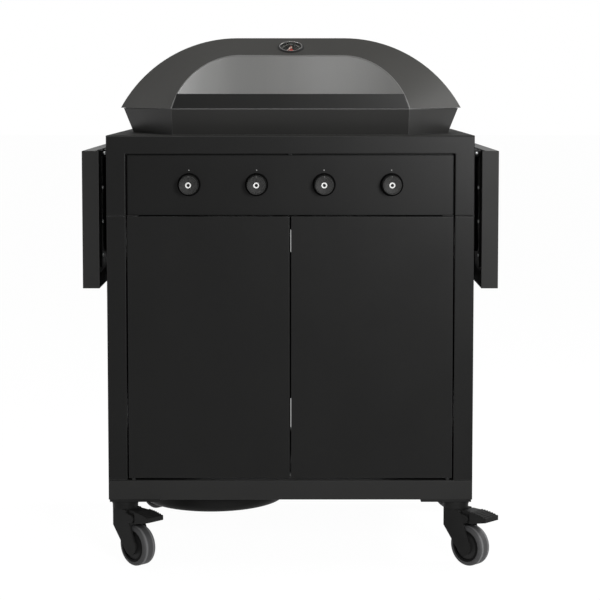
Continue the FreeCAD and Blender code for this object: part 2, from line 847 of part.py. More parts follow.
# Handle: a strip at the foot of the sloping panel, with a finger trough behind it.
def lid_handle():
    low = lid_rim
    high = low + handle_height
    slope = (plan_front_depth - arch_top_depth) / arch_top_rise
    radius = arch_radius(plan_front_half - arch_flat_half, arch_top_rise)
    drop = arch_top_rise - handle_height
    top_half = arch_flat_half + math.sqrt(radius * radius - (radius - drop) ** 2)
    depth = slope * handle_height

    def wedge(side, floor, face, ends):
        y = -plan_front_depth + face
        outline = [(-plan_front_half + ends, low + floor), (-top_half + ends, high + side),
                   (top_half - ends, high + side), (plan_front_half - ends, low + floor)]
        return prism([at(x, y, z) for x, z in outline], at(0, 2 * depth, 0))
    strip = wedge(0, 0, 0, 0).cut(wedge(handle_sheet, handle_sheet, handle_sheet, handle_sheet))
    return strip.cut(front_slab(0, 4 * depth))


def lid_hinge_line():
    return plan_front_depth + hinge_setback, lid_rim - hinge_drop


def lid_hinge_arms():
    y, z = lid_hinge_line()
    slope = (plan_front_depth - arch_top_depth) / arch_top_rise
    normal = at(0, 1, slope).normalize()
    eye = at(0, y, z)
    low = at(0, plan_front_depth - slope * hinge_arm_low, lid_rim + hinge_arm_low)
    high = at(0, plan_front_depth - slope * hinge_arm_high, lid_rim + hinge_arm_high)
    web = prism([low, high, high + normal * hinge_arm_depth, eye + normal * hinge_eye_radius, eye],
                X_AXIS * hinge_arm_thickness)
    ring = rod(hinge_eye_radius, eye, eye + X_AXIS * hinge_arm_thickness)
    bore = rod(hinge_pin_radius + running_clearance, eye - X_AXIS, eye + X_AXIS * (hinge_arm_thickness + 1))
    arm = join([web, ring]).cut(bore)
    arm.translate(X_AXIS * ((hinge_spacing - hinge_arm_thickness) / 2))
    return group([arm, mirrored(arm)])


def lid_hinge_posts():
    y, z = lid_hinge_line()
    ear_inner = hinge_arm_thickness / 2 + hinge_side_clearance
    ear_outer = ear_inner + hinge_ear
    ears = []
    for side in (-1, 1):
        near = min(side * ear_inner, side * ear_outer)
        far = max(side * ear_inner, side * ear_outer)
        stem = block((near, far), (y - hinge_eye_radius, y + hinge_eye_radius), (worktop_height, z))
        ears.append(join([stem, rod(hinge_eye_radius, at(near, y, z), at(far, y, z))]))
    pin = rod(hinge_pin_radius, at(-ear_outer, y, z), at(ear_outer, y, z))
    foot_half = hinge_foot_width / 2
    foot = block((-foot_half, foot_half), (y - hinge_foot_front, y + hinge_foot_back),
                 (worktop_height, worktop_height + hinge_foot_thickness))
    post = join(ears + [pin, foot])
    post.translate(X_AXIS * (hinge_spacing / 2))
    return group([post, mirrored(post)])


# Thermometer, built upright about its own axis and then let into the sloping band.
def thermometer_case():
    cup = Part.makeCylinder(dial_radius + bezel_wall, gauge_depth)
    rim_edges = [e for e in cup.Edges if on_plane(e, "z", gauge_depth)]
    cup = cup.makeFillet(bezel_wall / 2, rim_edges)
    flange = Part.makeCylinder(dial_radius + bezel_wall + gauge_flange, gauge_flange_thickness,
                               at(0, 0, gauge_sink))
    cup = join([cup, flange]).cut(Part.makeCylinder(dial_radius, gauge_depth, at(0, 0, gauge_floor)))
    probe = rod(probe_radius, at(0, 0, -probe_length), at(0, 0, gauge_floor))
    post = rod(needle_post_radius, at(0, 0, gauge_floor), at(0, 0, needle_post_top))
    return placed(join([cup, probe, post]), gauge_place())


def thermometer_dial():
    dial = Part.makeCylinder(dial_radius - gauge_clearance, dial_thickness, at(0, 0, gauge_floor))
    hole = Part.makeCylinder(needle_post_radius + gauge_clearance, gauge_depth)
    return placed(dial.cut(hole), gauge_place())


def thermometer_needle():
    low = gauge_floor + dial_thickness + needle_lift
    hub = Part.makeCylinder(needle_hub_radius, needle_thickness, at(0, 0, low))
    wide = needle_width / 2
    tip = wide / 4
    outline = [(-wide, 0), (-tip, -needle_tail), (tip, -needle_tail), (wide, 0),
               (tip, needle_length), (-tip, needle_length)]
    pointer = prism([at(x, y, low) for x, y in outline], at(0, 0, needle_thickness))
    pointer.rotate(at(0, 0, 0), Z_AXIS, needle_rest_turn)
    bore = Part.makeCylinder(needle_post_radius + running_clearance, gauge_depth)
    return placed(join([hub, pointer]).cut(bore), gauge_place())


def thermometer_lens():
    high = gauge_depth - lens_setback
    lens = Part.makeCylinder(dial_radius - gauge_clearance, lens_thickness, at(0, 0, high - lens_thickness))
    return placed(lens, gauge_place())


# Side tables: pans that hang folded beside the cabinet.
def table_lines():
    hinge_x = half + table_hinge_out
    hinge_z = worktop_height - table_hinge_drop
    outer = hinge_x + table_hinge_drop
    top = hinge_z + table_edge_over_hinge
    return hinge_x, hinge_z, outer, top


def right_side_table():
    hinge_x, hinge_z, outer, top = table_lines()
    y = (-table_length / 2, table_length / 2)
    z = (top - table_width, top)
    pan = block((outer - table_thickness, outer), y, z)
    pan = rounded(pan, edge_radius, lambda e: on_plane(e, "x", outer))
    hollow = block((outer - table_thickness, outer - table_sheet), (y[0] + table_sheet, y[1] - table_sheet),
                   (z[0] + table_sheet, z[1] - table_sheet))
    relief = block((outer - table_thickness, outer - table_thickness + table_relief),
                   (y[0] + table_sheet, y[1] - table_sheet), (z[1] - table_sheet, z[1]))
    return pan.cut(hollow).cut(relief)


def table_arm(y):
    hinge_x, hinge_z, outer, top = table_lines()
    skin = outer - table_sheet
    inner = outer - table_thickness + arm_setback
    high = top - table_sheet
    low = high - arm_length
    side = arm_width / 2
    channel = block((inner, skin), (y - side, y + side), (low, high))
    hollow = block((inner + arm_sheet, skin), (y - side + arm_sheet, y + side - arm_sheet), (low, high))
    tongue = block((hinge_x, inner + arm_sheet), (y - side, y + side),
                   (hinge_z - table_tongue_height / 2, hinge_z + table_tongue_height / 2))
    eye_start = at(hinge_x, y - side, hinge_z)
    eye_end = at(hinge_x, y + side, hinge_z)
    eye = rod(table_eye_radius, eye_start, eye_end)
    bore = rod(table_pin_radius + running_clearance, eye_start, eye_end)
    arm = join([channel.cut(hollow), tongue, eye]).cut(bore)
    screws = []
    for i in range(arm_screw_count):
        z = hinge_z - table_tongue_height - arm_screw_first - i * arm_screw_pitch
        head = Part.makeCylinder(arm_screw_radius, arm_screw_head, at(inner, y, z), at(-1, 0, 0))
        crown = [e for e in head.Edges if on_plane(e, "x", inner - arm_screw_head)]
        head = head.makeFillet(arm_screw_head / 2, crown)
        screws.append(head)
    return [arm] + screws


def right_table_arms():
    return group(table_arm(-arm_spacing / 2) + table_arm(arm_spacing / 2))


def table_hinge_plates():
    hinge_x, hinge_z, outer, top = table_lines()
    plates = []
    for y in (-arm_spacing / 2, arm_spacing / 2):
        wide = wall_plate_width / 2
        wall = block((half, half + wall_plate), (y - wide, y + wide),
                     (hinge_z - wall_plate_below, hinge_z + wall_plate_above))
        parts = [wall]
        near = arm_width / 2 + table_ear_clearance
        far = near + table_ear
        for side in (-1, 1):
            ear_y = (min(side * near, side * far) + y, max(side * near, side * far) + y)
            ear = block((half, hinge_x), ear_y, (hinge_z - table_eye_radius, hinge_z + table_eye_radius))
            parts.append(ear)
            ear_start = at(hinge_x, ear_y[0], hinge_z)
            parts.append(rod(table_eye_radius, ear_start, ear_start + Y_AXIS * table_ear))
        parts.append(rod(table_pin_radius, at(hinge_x, y - far, hinge_z), at(hinge_x, y + far, hinge_z)))
        plate = join(parts)
        plates.extend([plate, mirrored(plate)])
    return group(plates)


# Casters, built about a swivel axis at the origin with the wheel trailing along +X.
def caster_corner(side_x, side_y):
    place = at(side_x * (half - caster_side_inset), side_y * (back - caster_end_inset), 0)
    return FreeCAD.Placement(place, FreeCAD.Rotation(Z_AXIS, caster_turn))


def caster_plate(side_x, side_y):
    low = base_height - caster_plate_thickness
    x_edge = half - caster_plate_margin
    y_edge = back - caster_plate_margin
    x = sorted((side_x * x_edge, side_x * (x_edge - caster_plate_size)))
    y = sorted((side_y * y_edge, side_y * (y_edge - caster_plate_size)))
    plate = block(x, y, (low, base_height))
    axis = at(side_x * (half - caster_side_inset), side_y * (back - caster_end_inset), 0)
    race_low = low - race_height
    race = rod(race_radius, axis + Z_AXIS * race_low, axis + Z_AXIS * low)
    pin_low = race_low - king_pin_length
    pin = rod(king_pin_radius, axis + Z_AXIS * pin_low, axis + Z_AXIS * low)
    head = rod(king_head_radius, axis + Z_AXIS * pin_low, axis + Z_AXIS * (pin_low + king_head_height))
    return join([plate, race, pin, head])


def caster_fork(braked):
    neck_top = base_height - caster_plate_thickness - race_height - swivel_gap
    hood_top = neck_top - neck_height
    neck = rod(neck_radius, at(0, 0, hood_top), at(0, 0, neck_top))
    inner = wheel_width / 2 + cheek_gap
    outer = inner + cheek_thickness
    slant = cheek_eye_radius / math.sqrt(2)
    outline = [at(-hood_rear_reach, -outer, hood_top), at(hood_front_reach, -outer, hood_top),
               at(caster_trail + slant, -outer, wheel_radius + slant),
               at(caster_trail - slant, -outer, wheel_radius - slant),
               at(-hood_rear_reach, -outer, cheek_heel_height)]
    across = at(0, 2 * outer, 0)
    axle_start = at(caster_trail, -outer, wheel_radius)
    cheeks = [prism(outline, across), rod(cheek_eye_radius, axle_start, axle_start + across)]
    if braked:
        ear_line = at(pedal_pivot_reach, -outer, pedal_pivot_height)
        cheeks.append(rod(pedal_ear_radius, ear_line, ear_line + across))
        reach = at(0, -outer, hood_bottom)
        ear = [reach, at(pedal_pivot_reach, -outer, pedal_pivot_height - pedal_ear_radius),
               at(pedal_pivot_reach, -outer, pedal_pivot_height + pedal_ear_radius), at(0, -outer, hood_top)]
        cheeks.append(prism(ear, across))
    body = join(cheeks)
    gap = block((-2 * wheel_radius, 4 * wheel_radius), (-inner, inner), (-wheel_radius, hood_bottom))
    body = body.cut(gap)
    body = body.cut(block((hood_front_reach, 4 * wheel_radius), (-inner, inner), (-wheel_radius, hood_top)))
    body = join([body, neck])
    pin_hole = rod(king_pin_radius + running_clearance, at(0, 0, 0), at(0, 0, neck_top))
    pin_low = base_height - caster_plate_thickness - race_height - king_pin_length
    head_top = pin_low + king_head_height + swivel_gap
    head_room = rod(king_head_radius + cheek_gap, at(0, 0, 0), at(0, 0, head_top))
    axle_hole = rod(axle_radius, axle_start, axle_start + across)
    body = body.cut(pin_hole).cut(head_room).cut(axle_hole)
    axle = rod(axle_radius - running_clearance, axle_start, axle_start + across)
    solids = [body, axle]
    if braked:
        pin_start = at(pedal_pivot_reach, -outer, pedal_pivot_height)
        solids[0] = body.cut(rod(pedal_pin_radius, pin_start, pin_start + across))
        solids.append(rod(pedal_pin_radius - running_clearance, pin_start, pin_start + across))
    return group(solids)


def caster_hub():
    wide = wheel_width / 2
    radius = wheel_radius - tyre_depth
    start = at(caster_trail, -wide, wheel_radius)
    end = at(caster_trail, wide, wheel_radius)
    hub = rod(radius, start, end).cut(rod(axle_radius + running_clearance, start, end))
    for face, into in ((start, 1), (end, -1)):
        deep = face + at(0, into * hub_recess, 0)
        ring = rod(radius - hub_recess_rim, face, deep).cut(rod(hub_recess_inner, face, deep))
        hub = hub.cut(ring)
    return hub


def caster_tyre():
    wide = wheel_width / 2
    start = at(caster_trail, -wide, wheel_radius)
    end = at(caster_trail, wide, wheel_radius)
    tyre = rod(wheel_radius, start, end)
    shoulders = [e for e in tyre.Edges if on_plane(e, "y", -wide) or on_plane(e, "y", wide)]
    tyre = tyre.makeFillet(tyre_shoulder, shoulders)
    return tyre.cut(rod(wheel_radius - tyre_depth + tyre_fit, start, end))


def brake_pedal():
    root_half = wheel_width / 2 + cheek_gap - pedal_side_clearance
    root_start = hood_front_reach + pedal_root_clearance
    root_end = pedal_pad_start + pedal_root_clearance
    root = [(root_start, pedal_underside), (root_start, pedal_top - pedal_root_clearance),
            (root_start + pedal_root_clearance, pedal_top), (root_end, pedal_top),
            (root_end, pedal_underside)]
    length = pedal_tip_reach - pedal_pad_start
    tip_low = pedal_tip_height - pedal_tip_thickness / 2
    fall = pedal_top - pedal_tip_height - pedal_tip_thickness / 2
    steps = 2 * pedal_rib_count + 1
    pad = [(pedal_pad_start, pedal_underside)]
    for i in range(steps):
        groove = pedal_rib_depth * (i % 2)
        for share in (i / steps, (i + 1) / steps):
            pad.append((pedal_pad_start + share * length, pedal_top - fall * share * share - groove))
    pad.append((pedal_tip_reach, tip_low))
    wide = pedal_pad_half_width
    root_solid = prism([at(x, -root_half, z) for x, z in root], at(0, 2 * root_half, 0))
    pad_solid = prism([at(x, -wide, z) for x, z in pad], at(0, 2 * wide, 0))
    start = at(pedal_pivot_reach, -wide, pedal_pivot_height)
    bore = rod(pedal_pin_radius + running_clearance, start, start + at(0, 2 * wide, 0))
    return join([root_solid, pad_solid]).cut(bore)


pieces = {
    "base_frame": base_frame(),
    "floor_panel": floor_panel(),
    "bottle_dish": bottle_dish(),
    "right_side_panel": right_side_panel(),
    "back_panel": back_panel(),
    "front_frame": front_frame(),
    "control_panel": control_panel(),
    "worktop": worktop(),
    "firebox": firebox(),
    "burners": burners(),
    "flame_tamers": flame_tamers(),
    "cooking_grate_right": cooking_grate_right(),
    "gas_manifold": gas_manifold(),
    "gas_valves": gas_valves(),
    "knob_bezels": knob_bezels(),
    "right_door": right_door(),
    "door_pivots": door_pivots(),
    "door_catches": door_catches(),
    "tray_runners": tray_runners(),
    "drip_tray": drip_tray(),
    "lid_shell": lid_shell(),
    "lid_front_panel": lid_front_panel(),
    "lid_handle": lid_handle(),
    "lid_hinge_arms": lid_hinge_arms(),
    "lid_hinge_posts": lid_hinge_posts(),
    "thermometer_case": thermometer_case(),
    "thermometer_dial": thermometer_dial(),
    "thermometer_needle": thermometer_needle(),
    "thermometer_lens": thermometer_lens(),
    "right_side_table": right_side_table(),
    "right_table_arms": right_table_arms(),
    "table_hinge_plates": table_hinge_plates(),
}

# Pieces with a mirror image on the left.
for name in ("right_side_panel", "right_door", "right_side_table", "right_table_arms"):
    pieces[name.replace("right", "left")] = mirrored(pieces[name])
pieces["cooking_grate_left"] = mirrored(pieces["cooking_grate_right"])

for number, place_x in enumerate(knob_places, start=1):
    pieces["knob_%d" % number] = knob(place_x)
    pieces["valve_stem_%d" % number] = valve_stem(place_x)

corners = {"front_left": (-1, -1), "front_right": (1, -1), "rear_left": (-1, 1), "rear_right": (1, 1)}
pieces["caster_plates"] = group([caster_plate(x, y) for x, y in corners.values()])
for corner, (side_x, side_y) in corners.items():
    spot = caster_corner(side_x, side_y)
    in_front = side_y < 0
    pieces["caster_fork_" + corner] = placed(caster_fork(in_front), spot)
    pieces["caster_hub_" + corner] = placed(caster_hub(), spot)
    pieces["caster_tyre_" + corner] = placed(caster_tyre(), spot)
    if in_front:
        pieces["brake_pedal_" + corner] = placed(brake_pedal(), spot)

# The origin is on the floor, in the middle of the whole part's outline.
box = group(list(pieces.values())).optimalBoundingBox()
shift = at(-(box.XMin + box.XMax) / 2, -(box.YMin + box.YMax) / 2, -box.ZMin)
for name, shape in pieces.items():
    shape.translate(shift)
    shape.exportStep("parts/%s.step" % name)
print("pieces", len(pieces), "shift", [round(s, 3) for s in shift])
print("size", round(box.XLength, 2), round(box.YLength, 2), round(box.ZLength, 2))
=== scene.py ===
import bpy
import json
import math
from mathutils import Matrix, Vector


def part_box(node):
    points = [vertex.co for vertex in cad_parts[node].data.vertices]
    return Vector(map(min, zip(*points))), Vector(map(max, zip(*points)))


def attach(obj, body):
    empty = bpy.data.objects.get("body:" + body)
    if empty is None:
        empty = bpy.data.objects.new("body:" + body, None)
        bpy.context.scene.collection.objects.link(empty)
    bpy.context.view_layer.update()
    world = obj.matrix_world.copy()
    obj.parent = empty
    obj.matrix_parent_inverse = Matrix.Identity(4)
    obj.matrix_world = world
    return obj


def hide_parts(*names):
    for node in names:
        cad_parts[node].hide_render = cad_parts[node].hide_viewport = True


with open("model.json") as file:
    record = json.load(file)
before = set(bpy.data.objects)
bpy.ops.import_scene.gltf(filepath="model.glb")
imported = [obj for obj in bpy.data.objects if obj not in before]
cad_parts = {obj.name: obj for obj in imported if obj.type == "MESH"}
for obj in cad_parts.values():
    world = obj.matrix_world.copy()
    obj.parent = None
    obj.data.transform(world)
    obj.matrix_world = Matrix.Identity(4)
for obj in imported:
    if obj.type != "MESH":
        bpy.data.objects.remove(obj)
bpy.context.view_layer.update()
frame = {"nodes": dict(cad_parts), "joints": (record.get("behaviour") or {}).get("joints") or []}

# Cabinet sheets and doors: folded mild steel with a satin black powder coat, baked on after folding.
# The coat has a fine orange-peel skin, and a thin pale highlight is painted along the edges of the folds.
nodes = frame["nodes"]


class Reading:
    """A value on its way through a finish. Sums of readings and numbers add the nodes they need."""

    def __init__(self, finish, socket):
        self.finish = finish
        self.socket = socket

    def sum(self, operation, first, second):
        return self.finish.node("ShaderNodeMath", {"operation": operation}, {0: first, 1: second})

    def __add__(self, other):
        return self.sum("ADD", self, other)

    __radd__ = __add__

    def __sub__(self, other):
        return self.sum("SUBTRACT", self, other)

    def __rsub__(self, other):
        return self.sum("SUBTRACT", other, self)

    def __mul__(self, other):
        return self.sum("MULTIPLY", self, other)

    __rmul__ = __mul__

    def __truediv__(self, other):
        return self.sum("DIVIDE", self, other)

    def __pow__(self, other):
        return self.sum("POWER", self, other)

    def __mod__(self, other):
        return self.sum("FLOORED_MODULO", self, other)

    def __lt__(self, other):
        return self.sum("LESS_THAN", self, other)

    def __gt__(self, other):
        return self.sum("GREATER_THAN", self, other)

    def __abs__(self):
        return self.sum("ABSOLUTE", self, 0.0)

    def root(self):
        return self.sum("SQRT", self, 0.0)

    def angle_to(self, other):
        return self.sum("ARCTAN2", self, other)

    def reach(self, other):
        """Straight distance to a point that lies this far one way and the other far square to it."""
        return (self ** 2.0 + other ** 2.0).root()

    def swing(self, amount):
        """A reading from 0 to 1, turned into a swing about nothing of this amount in all."""
        return (self - 0.5) * amount

    def fade(self, start, end, first, last):
        """From first to last while the reading goes from start to end, and level beyond."""
        return self.finish.node("ShaderNodeMapRange", {}, {0: self, 1: start, 2: end, 3: first, 4: last})


class Finish:
    """One surface finish, or the surround: its shader and the nodes that vary it."""

    def __init__(self, name, make=bpy.data.materials.new, shader="Principled BSDF"):
        self.material = make(name)
        self.material.use_nodes = True
        self.tree = self.material.node_tree
        self.surface = self.tree.nodes[shader]

    def feed(self, socket, value):
        if isinstance(value, Reading):
            self.tree.links.new(value.socket, socket)
        else:
            socket.default_value = value

    def node(self, kind, settings, inputs, output=0):
        made = self.tree.nodes.new(kind)
        for key, value in settings.items():
            setattr(made, key, value)
        for key, value in inputs.items():
            self.feed(made.inputs[key], value)
        return Reading(self, made.outputs[output])

    def place(self):
        return self.node("ShaderNodeTexCoord", {}, {}, "Object")

    def axes(self):
        split = self.node("ShaderNodeSeparateXYZ", {}, {0: self.place()})
        return [Reading(self, out) for out in split.socket.node.outputs]

    def noise(self, scale, detail=2.0, roughness=0.5):
        return self.node("ShaderNodeTexNoise", {}, {
            "Vector": self.place(), "Scale": scale, "Detail": detail, "Roughness": roughness,
        }, "Fac")

    def mix(self, factor, first, second):
        """One colour over another. A colour mix has them on sockets 6 and 7, and its result on 2."""
        return self.node("ShaderNodeMix", {"data_type": "RGBA"}, {0: factor, 6: first, 7: second}, 2)

    def clouded(self, dark, light, scale, detail=2.0):
        """A tone that wanders between two colours in soft patches."""
        return self.mix(self.noise(scale, detail), dark, light)

    def edge(self, radius):
        return self.node("ShaderNodeBevel", {"samples": 8}, {"Radius": radius})

    def edge_highlight_mask(self, softened):
        """Where to paint a highlight along an edge: the softened normal leans away from the true one there
        alone.
        """
        true = self.node("ShaderNodeNewGeometry", {}, {}, "Normal")
        facing = self.node("ShaderNodeVectorMath", {"operation": "DOT_PRODUCT"},
                           {0: softened, 1: true}, "Value")
        return (1.0 - facing) * 2.0

    def bump(self, height, strength, normal, depth=0.0002):
        return self.node("ShaderNodeBump", {}, {
            "Strength": strength, "Distance": depth, "Height": height, "Normal": normal,
        })

    def cover(self, inputs):
        for key, value in inputs.items():
            self.feed(self.surface.inputs[key], value)

    def put_on(self, *names):
        for name in names:
            slots = nodes[name].data.materials
            slots.clear()
            slots.append(self.material)


def coated(name, dark, light, gloss, shine, peel=0.12, edge_highlight=0.06, edge_radius=0.0014):
    """Powder coat between two tones, with its skin, its slow unevenness and a pale highlight painted along
    its edges.
    """
    finish = Finish(name)
    soft = finish.edge(edge_radius)
    # Painted highlight: a tone paler than the light one is painted along every edge.
    highlight_tone = [c + edge_highlight for c in light[:3]] + [1.0]
    haze = finish.noise(11.0, 3.0)
    grain = finish.noise(160.0)
    skin = finish.noise(1400.0, 1.0)
    finish.cover({
        "Base Color": finish.mix(finish.edge_highlight_mask(soft), finish.clouded(dark, light, 6.0, 4.0), highlight_tone),
        "Roughness": gloss + haze.swing(0.08) + grain.swing(0.06),
        "Normal": finish.bump(skin, peel, soft),
        "Specular IOR Level": shine,
    })
    return finish


black_coat = coated("satin_black_coat", gloss=0.32, shine=0.10, edge_radius=0.0026,
                    dark=(0.0058, 0.0058, 0.0057, 1), light=(0.0080, 0.0080, 0.0078, 1))
black_coat.put_on("floor_panel", "left_side_panel", "right_side_panel", "back_panel", "front_frame",
                  "left_door", "right_door")

# Base frame and side tables: four folded rails under the cabinet, and two pans with deep rims that
# hang folded at its sides. Their black coat is a little paler and duller than the doors'.
table_coat = coated("table_black_coat", gloss=0.42, shine=0.10,
                    dark=(0.0131, 0.0131, 0.0128, 1), light=(0.0177, 0.0177, 0.0173, 1))
table_coat.put_on("base_frame", "left_side_table", "right_side_table")

# Worktop: a steel sheet with rounded edges, and a cut-out that the firebox goes through. Its coat is
# matt and coarsely textured, so that scratches from pans don't show.
worktop_coat = coated("textured_worktop_coat", gloss=0.66, shine=0.07, peel=0.4,
                      dark=(0.014, 0.014, 0.0132, 1), light=(0.020, 0.020, 0.0188, 1))
worktop_coat.put_on("worktop")

# Bottle dish: a deep-drawn steel pan that hangs by its flange in the cabinet's floor, coated black.
# Drawing leaves faint rings round its wall, which the coat follows.
rings_per_metre = 900.0
dish_low, dish_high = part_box("bottle_dish")
dish_middle = (dish_low + dish_high) / 2
dish_coat = Finish("drawn_dish_coat")
dish_x, dish_y, dish_z = dish_coat.axes()
dish_reach = (dish_x - dish_middle.x).reach(dish_y - dish_middle.y)
rings = (dish_reach * rings_per_metre + dish_z * rings_per_metre) % 1.0
dish_coat.cover({
    "Base Color": dish_coat.clouded((0.0062, 0.0062, 0.0062, 1), (0.0108, 0.0108, 0.0103, 1), 9.0, 4.0),
    "Roughness": 0.5 + dish_coat.noise(140.0).swing(0.08),
    "Normal": dish_coat.bump(abs(rings - 0.5), 0.08, dish_coat.edge(0.0012)),
    "Specular IOR Level": 0.1,
})
dish_coat.put_on("bottle_dish")

# Control panel: a coated steel pan set back in the front frame, with one small printed index dot
# above each knob. The dots are pad-printed in pale grey, a little soft at the rim.
joint = {j["name"]: j for j in frame["joints"]}
knob_pivots = [Vector(joint["knob_turn_%d" % i]["pos_m"]) for i in (1, 2, 3, 4)]
knob_step = knob_pivots[1].x - knob_pivots[0].x
dot_rise = 0.0285
dot_core = 0.0006
dot_rim = 0.0014


def from_knob(finish):
    """Across and up from the axis of the nearest knob, since the knobs stand in one even row."""
    x, _, z = finish.axes()
    across = (x - knob_pivots[0].x + knob_step / 2) % knob_step - knob_step / 2
    return across, z - knob_pivots[0].z


panel_coat = Finish("control_panel_coat")
beside_knob, above_knob = from_knob(panel_coat)
in_row = abs(panel_coat.axes()[0]) < knob_step * len(knob_pivots) / 2
dot = beside_knob.reach(above_knob - dot_rise).fade(dot_core, dot_rim, 1.0, 0.0) * in_row
panel_tone = panel_coat.clouded((0.0050, 0.0050, 0.0049, 1), (0.0070, 0.0070, 0.0068, 1), 6.0, 4.0)
panel_coat.cover({
    "Base Color": panel_coat.mix(dot, panel_tone, (0.38, 0.38, 0.37, 1)),
    "Roughness": 0.32 + panel_coat.noise(11.0, 3.0).swing(0.08),
    "Normal": panel_coat.bump(panel_coat.noise(1400.0, 1.0), 0.12, panel_coat.edge(0.0012)),
    "Specular IOR Level": 0.10,
})
panel_coat.put_on("control_panel")

# Knob base rings: moulded black plastic discs fixed on the panel, finer than its coat and blacker, partly as
# painted shade of the knobs. The holders of the door catches are moulded in the same plastic.
ring_plastic_and_shade = Finish("base_ring_plastic")
ring_plastic_and_shade.cover({
    # Painted shade: the near-black tone also stands in for the shade of the knobs on the rings.
    "Base Color": ring_plastic_and_shade.clouded((0.0010, 0.0010, 0.0010, 1), (0.0022, 0.0022, 0.0022, 1), 300.0, 3.0),
    "Roughness": 0.7 + ring_plastic_and_shade.noise(500.0).swing(0.2),
    "Normal": ring_plastic_and_shade.bump(ring_plastic_and_shade.noise(2200.0), 0.15, ring_plastic_and_shade.edge(0.0008)),
    "Specular IOR Level": 0.02,
})
ring_plastic_and_shade.put_on("knob_bezels", "door_catches")

# Control knobs: moulded plastic knobs pushed onto the valve stems, each with a gripped skirt, a shallow
# dished face and a pressed-in centre. A white ring is printed on the face, and a short, faint pale line is
# painted at its top. The pressed-in centre is painted near black, as painted shade in its hollow.


def pick_alone(piece):
    """Leave edit mode, and select this piece alone."""
    if bpy.context.object and bpy.context.object.mode == "EDIT":
        bpy.ops.object.mode_set(mode="OBJECT")
    bpy.ops.object.select_all(action="DESELECT")
    bpy.context.view_layer.objects.active = piece
    piece.select_set(True)


def edit(piece):
    """Open one piece alone for edge and face work, with nothing on it selected."""
    pick_alone(piece)
    bpy.ops.object.mode_set(mode="EDIT")
    bpy.ops.mesh.select_mode(type="FACE")
    bpy.ops.mesh.select_all(action="DESELECT")


def pick_faces(piece, wanted):
    """Select the faces of the open piece that the test asks for."""
    bpy.ops.mesh.select_all(action="DESELECT")
    bpy.ops.object.mode_set(mode="OBJECT")
    for face in piece.data.polygons:
        face.select = wanted(face)
    bpy.ops.object.mode_set(mode="EDIT")


def faces_front(face):
    return face.normal.y < -0.9


def front_disc(radius, depth, middle, sides):
    """A disc that faces the front, to be shaped further, with its place in its mesh."""
    bpy.ops.object.select_all(action="DESELECT")
    bpy.ops.mesh.primitive_cylinder_add(vertices=sides, radius=radius, depth=depth, location=middle,
                                        rotation=(math.pi / 2, 0, 0))
    bpy.ops.object.transform_apply(location=True, rotation=True, scale=True)
    return bpy.context.object


def step_in(steps):
    """Inset the selected face again and again, each time by a width and a rise."""
    for width, rise in steps:
        bpy.ops.mesh.inset(thickness=width, depth=rise)


def rounded_off(piece, width, degrees):
    """Break the edges of a piece that are sharper than this."""
    bpy.ops.object.mode_set(mode="OBJECT")
    bevel = piece.modifiers.new("broken_edges", "BEVEL")
    bevel.width = width
    bevel.segments = 2
    bevel.limit_method = "ANGLE"
    bevel.angle_limit = math.radians(degrees)
    bpy.ops.object.modifier_apply(modifier=bevel.name)


def settle(piece, name, finish, smooth_degrees):
    """Put a shaped piece's place into its mesh, smooth it, and give it its name and finish."""
    pick_alone(piece)
    bpy.ops.object.transform_apply(location=True, rotation=True, scale=True)
    bpy.ops.object.shade_smooth_by_angle(angle=math.radians(smooth_degrees))
    piece.name = name
    piece.data.materials.clear()
    piece.data.materials.append(finish.material)


def copied(piece, name, offset):
    """A copy with its own mesh, moved as a whole."""
    twin = piece.copy()
    twin.data = piece.data.copy()
    twin.name = name
    bpy.context.scene.collection.objects.link(twin)
    for vertex in twin.data.vertices:
        vertex.co += offset
    return twin


knob_low, knob_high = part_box("knob_1")
knob_middle = (knob_low + knob_high) / 2
knob_radius = (knob_high.x - knob_low.x) / 2
knob_length = knob_high.y - knob_low.y
printed_depth = 0.0035
ring_radius = 0.00445
ring_half_width = 0.00125
top_line_half_width = 0.00045
top_line_foot = 0.0155
top_line_tip = 0.0183
top_line_strength = 0.2
centre_radius = 0.0031
skirt_margin = 0.0002
face_taper = 0.915
face_steps = (
    (0.0016, 0.0),  # the flat rim
    (0.0008, -0.0009),  # down into the dish
    (0.0083, 0.0003),  # the dish, rising again to the middle
    (0.0003, -0.0004),  # down to the printed ring
    (0.0036, 0.0),  # the ring's flat
    (0.0004, -0.0008),  # down into the centre
)
groove_margin = 0.00012
groove_depth = 0.00055

knob_plastic = Finish("knob_plastic")
beside_knob, above_knob = from_knob(knob_plastic)
off_axis = beside_knob.reach(above_knob)
white_ring = abs(off_axis - ring_radius) < ring_half_width
# A short, faint pale line is painted at the top of each face.
top_line = (abs(beside_knob) < top_line_half_width) * (above_knob > top_line_foot) * (above_knob < top_line_tip)
on_face = knob_plastic.axes()[1] < knob_low.y + printed_depth
ring_and_top_line = (white_ring + top_line * top_line_strength) * on_face
grain = knob_plastic.noise(520.0, 4.0, 0.7)
speckle = grain.fade(0.35, 0.65, 0.0, 1.0)
knob_tone = knob_plastic.mix(speckle, (0.0046, 0.0046, 0.0046, 1), (0.034, 0.034, 0.0332, 1))
# Painted shade: the pressed-in centre is painted near black.
knob_tone = knob_plastic.mix(off_axis < centre_radius, knob_tone, (0.0012, 0.0012, 0.0012, 1))
knob_plastic.cover({
    "Base Color": knob_plastic.mix(ring_and_top_line, knob_tone, (0.66, 0.66, 0.65, 1)),
    "Roughness": 0.46 + grain.swing(0.25),
    "Normal": knob_plastic.bump(grain, 0.25, knob_plastic.edge(0.0006), depth=0.0004),
    "Specular IOR Level": 0.12,
})

